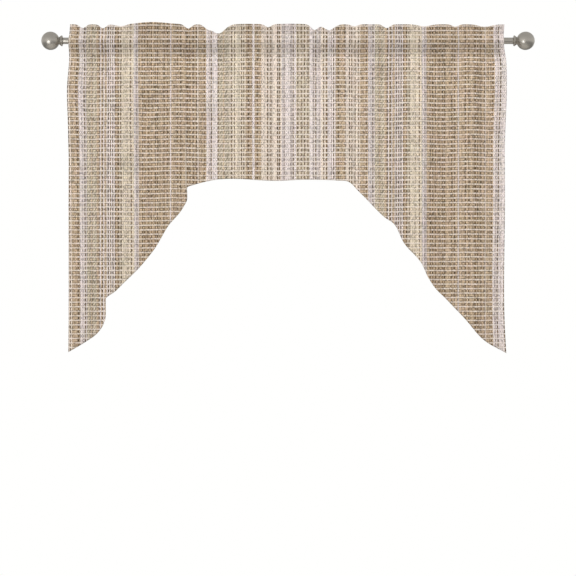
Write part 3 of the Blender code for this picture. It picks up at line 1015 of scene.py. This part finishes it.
def woven_cloth(side):
    """The striped woven cloth, on the map of the flat cloth, for its face, reverse or edge.

    Slubby warp ends side by side in the stripes' colours, crossed by a pale weft thread every
    WEFT_PITCH. Matt and fibrous, so it gives soft light with no highlight, and the loose weave
    shows as short dark gaps between pale threads.
    """
    material, tree, shader = new_material("woven_cloth_" + side)
    flat = node(tree, "ShaderNodeUVMap", uv_map="flat_cloth").outputs[0]

    # Threads wander a little: the map is pushed about by a soft noise, half of whose reach is
    # taken off the starts again.
    drift = noise(tree, flat, WANDER_SIZE, 1.0).outputs["Color"]
    inputs = (drift, (END_WANDER, PICK_WANDER, 0.0), flat)
    wandered = node(tree, "ShaderNodeVectorMath", inputs, operation="MULTIPLY_ADD")
    across, along = node(tree, "ShaderNodeSeparateXYZ", (wandered,)).outputs[:2]
    first_end = -(STRIPES_START + 0.5 * END_WANDER) / WARP_END
    first_pick = -(WEFT_START + 0.5 * PICK_WANDER) / WEFT_PITCH
    end = maths(tree, "MULTIPLY_ADD", across, 1.0 / WARP_END, first_end)
    pick = maths(tree, "MULTIPLY_ADD", along, 1.0 / WEFT_PITCH, first_pick)
    end_number = maths(tree, "FLOOR", end)

    runs, repeat = warp_runs()
    phase = maths(tree, "FRACT", maths(tree, "MULTIPLY", end, 1.0 / repeat))
    warp = warp_colour(tree, phase, repeat, runs)
    light = node(tree, "ShaderNodeRGBToBW", (warp,))
    darkness = ranged(tree, light, (PALE_YARN, DARK_YARN), (0.0, 1.0))

    # Streaks: each end drifts lighter and darker along its length, and a dark one fades out
    # to the cream here and there.
    way = maths(tree, "MULTIPLY", along, 1.0 / STREAK_LENGTH)
    apart = maths(tree, "MULTIPLY", end_number, STREAKS_APART)
    strip = node(tree, "ShaderNodeCombineXYZ", (apart, way, 0.0))
    streak = noise(tree, strip, 1.0, 1.0)
    fade = ranged(tree, streak, STREAK_FADING, (0.0, STREAK_FADE))
    warp = mixed(tree, product(tree, fade, darkness), warp, linear(YARNS["c"]))

    # Each end is dyed a little lighter or darker than the next.
    dye = node(tree, "ShaderNodeTexWhiteNoise", {"W": end_number}, noise_dimensions="1D")
    dyed = ranged(tree, dye, (0.0, 1.0), (1.0 - 0.5 * END_CONTRAST, 1.0 + 0.5 * END_CONTRAST))

    # Slubs: each end is lighter or darker from one short row to the next, most in the dark yarns. Each
    # end is also painted darker at its sides and lighter on its crown, a painted shade and painted
    # highlight of the round yarn, and so rounds off towards its neighbours; the same rounding also
    # lifts the relief.
    row_number = maths(tree, "FLOOR", maths(tree, "MULTIPLY", pick, SLUBS_PER_PICK))
    cell = node(tree, "ShaderNodeCombineXYZ", (end_number, row_number, 0.0))
    slub = node(tree, "ShaderNodeTexWhiteNoise", (cell,), noise_dimensions="2D")
    reach = ranged(tree, darkness, (0.0, 1.0), (PALE_SLUB, DARK_SLUB))
    centred = maths(tree, "SUBTRACT", 1.0 / 3.0, product(tree, slub, slub))
    uneven = maths(tree, "MULTIPLY_ADD", centred, reach, 1.0)
    over = maths(tree, "PINGPONG", maths(tree, "ADD", end_number, row_number), 1.0)
    over = maths(tree, "MULTIPLY_ADD", over, 2.0 * OVER_UNDER, 1.0 - OVER_UNDER)
    side_way = maths(tree, "PINGPONG", end, 0.5)
    rounding_and_painted_shade = ranged(tree, side_way, (0.0, ROUNDED_SHARE), (PAINTED_SIDE_SHADE, PAINTED_CROWN_LIGHT), smooth=True)
    shade = product(tree, uneven, over, rounding_and_painted_shade, dyed)

    # Between one weft thread and the next lie two darker rows, in the dark yarns, with a
    # lighter one between them, in all.
    from_line = maths(tree, "PINGPONG", pick, 0.5)
    off_row = maths(tree, "ABSOLUTE", maths(tree, "SUBTRACT", from_line, DARK_ROW))
    in_row = ranged(tree, off_row, (0.0, DARK_ROW_REACH), (DARK_ROW_DEPTH, 0.0), smooth=True)
    lift = (1.0, 1.0 + MIDDLE_ROW_LIFT)
    middle = ranged(tree, from_line, (MIDDLE_ROW_EDGE, 0.5), lift, smooth=True)
    row_shade = maths(tree, "SUBTRACT", middle, product(tree, in_row, darkness))

    # The tan ends are a fine twill: slanting lines, strongest at that yarn's own lightness.
    off_twill = maths(tree, "ABSOLUTE", maths(tree, "SUBTRACT", light, TWILL_YARN))
    twill = ranged(tree, off_twill, (0.0, TWILL_REACH), (TWILL_DEPTH, 0.0))
    slant = maths(tree, "MULTIPLY", pick, TWILL_PER_PICK * math.tau)
    slant = maths(tree, "MULTIPLY_ADD", end, TWILL_PER_END * math.tau, slant)
    slant = maths(tree, "MULTIPLY_ADD", maths(tree, "SINE", slant), twill, 1.0)

    # Fibre and mottling, finest first.
    fibre = noise(tree, flat, FIBRE_SIZE, 3.0)
    mottle = noise(tree, flat, MOTTLE_SIZE, 2.0)
    patches = ((fibre, FIBRE_DEPTH), (mottle, MOTTLE_DEPTH), (streak, STREAK_DEPTH))
    patches = [ranged(tree, soft, NOISE_SPREAD, (1.0 - deep, 1.0 + deep)) for soft, deep in patches]
    shade = product(tree, shade, row_shade, slant, *patches)
    threads = node(tree, "ShaderNodeVectorMath", {0: warp, "Scale": shade}, operation="SCALE")

    # The pale weft crosses on top, broken from end to end, and covers most of a dark gap.
    crossing = maths(tree, "ROUND", pick)
    cell = node(tree, "ShaderNodeCombineXYZ", (end_number, crossing, WEFT_CELL_LAYER))
    broken = node(tree, "ShaderNodeTexWhiteNoise", (cell,), noise_dimensions="3D")
    way = maths(tree, "MULTIPLY", across, 1.0 / STREAK_LENGTH)
    apart = maths(tree, "MULTIPLY", crossing, STREAKS_APART)
    strip = node(tree, "ShaderNodeCombineXYZ", (way, apart, WEFT_RUN_LAYER))
    whole = maths(tree, "ADD", noise(tree, strip, 1.0, 1.0), broken)
    strength = ranged(tree, whole, WEFT_BREAKS, (WEFT_WEAKEST, 1.0))
    cover = ranged(tree, darkness, (0.0, DARK_COVER_FROM), (WEFT_OVER_PALE, WEFT_OVER_DARK))
    strength = product(tree, strength, cover)
    half_width = ranged(tree, darkness, (GAP_FROM, 1.0), (WEFT_HALF_WIDTH, GAP_HALF_WIDTH))
    ragged = maths(tree, "MULTIPLY_ADD", fibre, 2.0 * WEFT_RAGGED, -WEFT_RAGGED)
    edge = maths(tree, "SUBTRACT", maths(tree, "ADD", from_line, ragged), half_width)
    weft = ranged(tree, edge, (-WEFT_EDGE, WEFT_EDGE), (strength, 0.0), smooth=True)
    colour = mixed(tree, weft, threads, linear(WEFT_COLOUR))
    tint = (noise(tree, flat, TINT_SIZE, 2.0).outputs["Color"], TINT_REACH, TINT_FROM)
    tint = node(tree, "ShaderNodeVectorMath", tint, operation="MULTIPLY_ADD")
    colour = node(tree, "ShaderNodeVectorMath", (colour, tint), operation="MULTIPLY")

    # Painted shade: the heading and the pocket are double, so less light comes through the loose
    # weave, and that is painted into the colour as a darker band from the pocket's seam up.
    seam = (POCKET_SEAM - DOUBLED_BELOW, POCKET_SEAM + DOUBLED_ABOVE)
    painted_doubled_shade = ranged(tree, along, seam, (1.0, PAINTED_DOUBLED_SHADE), smooth=True)
    colour = node(tree, "ShaderNodeVectorMath", {0: colour, "Scale": painted_doubled_shade}, operation="SCALE")
    share, plain = PLAIN_SHARES[side]
    if share:
        colour = mixed(tree, share, colour, linear(plain))

    # Relief: rounded ends, the weft over them, and fibre.
    height = maths(tree, "MULTIPLY_ADD", weft, WEFT_RELIEF, rounding_and_painted_shade)
    height = maths(tree, "MULTIPLY_ADD", fibre, FIBRE_RELIEF, height)
    inputs = {"Height": height, "Distance": THREAD_RELIEF, "Strength": 1.0}
    relief = node(tree, "ShaderNodeBump", inputs)
    feed(shader, {"Base Color": colour, "Normal": relief, **CLOTH_FINISH})
    return material


def sewing_thread():
    """Spun polyester sewing thread, cream: a soft twist along each stitch and a faint lustre."""
    material, tree, shader = new_material("sewing_thread")
    place = node(tree, "ShaderNodeTexCoord").outputs["Object"]
    twist = noise(tree, place, THREAD_TWIST, 1.0)
    colour = mixed(tree, twist, linear("#B9A78D"), linear("#E4D9C5"))
    relief = node(tree, "ShaderNodeBump", {"Height": twist, "Distance": 0.05 * MM})
    feed(shader, {"Base Color": colour, "Normal": relief, "Roughness": 0.6})
    return material


def satin_nickel():
    """Satin nickel plate, brushed round the turning: a warm grey metal whose fine rings blur
    its reflections. The brushing, really some 0.1 mm apart, is drawn at BRUSH_SIZE."""
    name = "satin_nickel_plate"
    if name in bpy.data.materials:
        return bpy.data.materials[name]
    material, tree, shader = new_material(name)
    place = node(tree, "ShaderNodeTexCoord").outputs["Object"]
    stretched = node(tree, "ShaderNodeMapping", {"Vector": place, "Scale": (1.0, 0.04, 0.04)})
    brushing = noise(tree, stretched, BRUSH_SIZE, 2.0)
    cloud = noise(tree, place, CLOUD_SIZE, 2.0)
    colour = mixed(tree, cloud, linear("#B3AEA5"), linear("#C3BEB5"))
    rough = ranged(tree, brushing, NOISE_SPREAD, NICKEL_ROUGHNESS)
    relief = node(tree, "ShaderNodeBump", {"Height": brushing, "Distance": 0.004 * MM})
    feed(shader, {"Base Color": colour, "Roughness": rough, "Normal": relief, "Metallic": 1.0})
    return material


def painted_floor():
    """Matt pale paint with a faint cloudiness, for the studio's floor, which fades out into
    the light round it before its edge."""
    material, tree, shader = new_material("painted_studio_floor")
    place = node(tree, "ShaderNodeTexCoord").outputs["Object"]
    cloud = noise(tree, place, FLOOR_CLOUD_SIZE, 2.0)
    colour = mixed(tree, cloud, linear("#E4E2DE"), linear("#EBE9E6"))
    level = node(tree, "ShaderNodeVectorMath", (place, (1.0, 1.0, 0.0)), operation="MULTIPLY")
    radius = node(tree, "ShaderNodeVectorMath", (level,), operation="LENGTH").outputs["Value"]
    solid = ranged(tree, radius, (FLOOR_SOLID, FLOOR_SIZE / 2.0), (1.0, 0.0), smooth=True)
    feed(shader, {"Base Color": colour, "Alpha": solid, "Roughness": 0.8})
    return material


def studio_sky():
    """Soft light from all round: brightest along the horizon and dimmer above and below it.
    The camera sees a plain white backdrop in its place."""
    world = bpy.data.worlds.new("studio_sky")
    world.use_nodes = True
    bpy.context.scene.world = world
    tree = world.node_tree
    heading = node(tree, "ShaderNodeTexCoord").outputs["Generated"]
    height = node(tree, "ShaderNodeSeparateXYZ", (heading,)).outputs[2]
    share = ranged(tree, height, (-1.0, 1.0), (0.0, 1.0))
    ramp = node(tree, "ShaderNodeValToRGB", (share,))
    stops = ramp.color_ramp.elements
    for place, (at, level) in enumerate(SKY):
        stop = stops[0] if place == 0 else stops.new(at) if place < len(SKY) - 1 else stops[-1]
        stop.position = at
        stop.color = (level, level * 0.995, level * 0.985, 1.0)
    seen = node(tree, "ShaderNodeLightPath").outputs["Is Camera Ray"]
    backdrop = mixed(tree, seen, ramp, linear("#FFFFFE"))
    feed(tree.nodes["Background"], {"Color": backdrop, "Strength": 1.0})


def hang_softbox(box):
    """A square soft light at a place, facing a target. It is either the light that falls on the
    cloth or a reflector set up for the metal, which mirrors that one alone."""
    light = bpy.data.lights.new(box.name, "AREA")
    light.size = box.size
    light.energy = box.power
    lamp = bpy.data.objects.new(box.name, light)
    lamp.visible_camera = False
    lamp.visible_glossy = box.for_metal
    lamp.visible_diffuse = not box.for_metal
    lamp.location = box.place
    facing = Vector(box.target) - Vector(box.place)
    lamp.rotation_euler = facing.to_track_quat("-Z", "Y").to_euler()
    bpy.context.scene.collection.objects.link(lamp)


def studio_floor():
    """A flat square floor below the tails."""
    reach = FLOOR_SIZE / 2.0
    corners = np.array([(-reach, -reach), (reach, -reach), (reach, reach), (-reach, reach)])
    points = np.column_stack([corners, np.full(4, FLOOR_HEIGHT)])
    floor = make_mesh("studio_floor", points, np.array([[0, 1, 2, 3]]))
    floor.data.materials.append(painted_floor())


def place_camera():
    """A long lens, square on to the cloth, at the height of the arch's foot."""
    data = bpy.data.cameras.new("camera")
    data.lens = 100.0
    data.sensor_width = 36.0
    camera = bpy.data.objects.new("camera", data)
    camera.location = (0.0, -CAMERA_DISTANCE, CAMERA_HEIGHT)
    camera.rotation_euler = (math.pi / 2.0, 0.0, 0.0)
    bpy.context.scene.collection.objects.link(camera)
    bpy.context.scene.camera = camera


# The cloth with its hem and sewing.
cloth = hang_sheet()
hem = hem_lines()
turning = hem_turning(cloth, hem)
stitches = stitch_rows(cloth, hem)

# The rod with its ends.
tube = curtain_rod()
turned_pieces = {"rod": tube}
for word, direction in (("left", -1), ("right", 1)):
    turned_pieces["collar_" + word] = rod_collar("rod_collar_" + word, direction)
    turned_pieces["finial_" + word] = ball_finial("ball_finial_" + word, direction)

for piece in (cloth, turning, stitches, *turned_pieces.values()):
    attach(piece, "root")
for cad_node, piece in (("drape", cloth), *turned_pieces.items()):
    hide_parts(cad_node)

studio_floor()
studio_sky()
for box in SOFTBOXES:
    hang_softbox(box)
place_camera()
bpy.context.scene.view_settings.view_transform = "Standard"
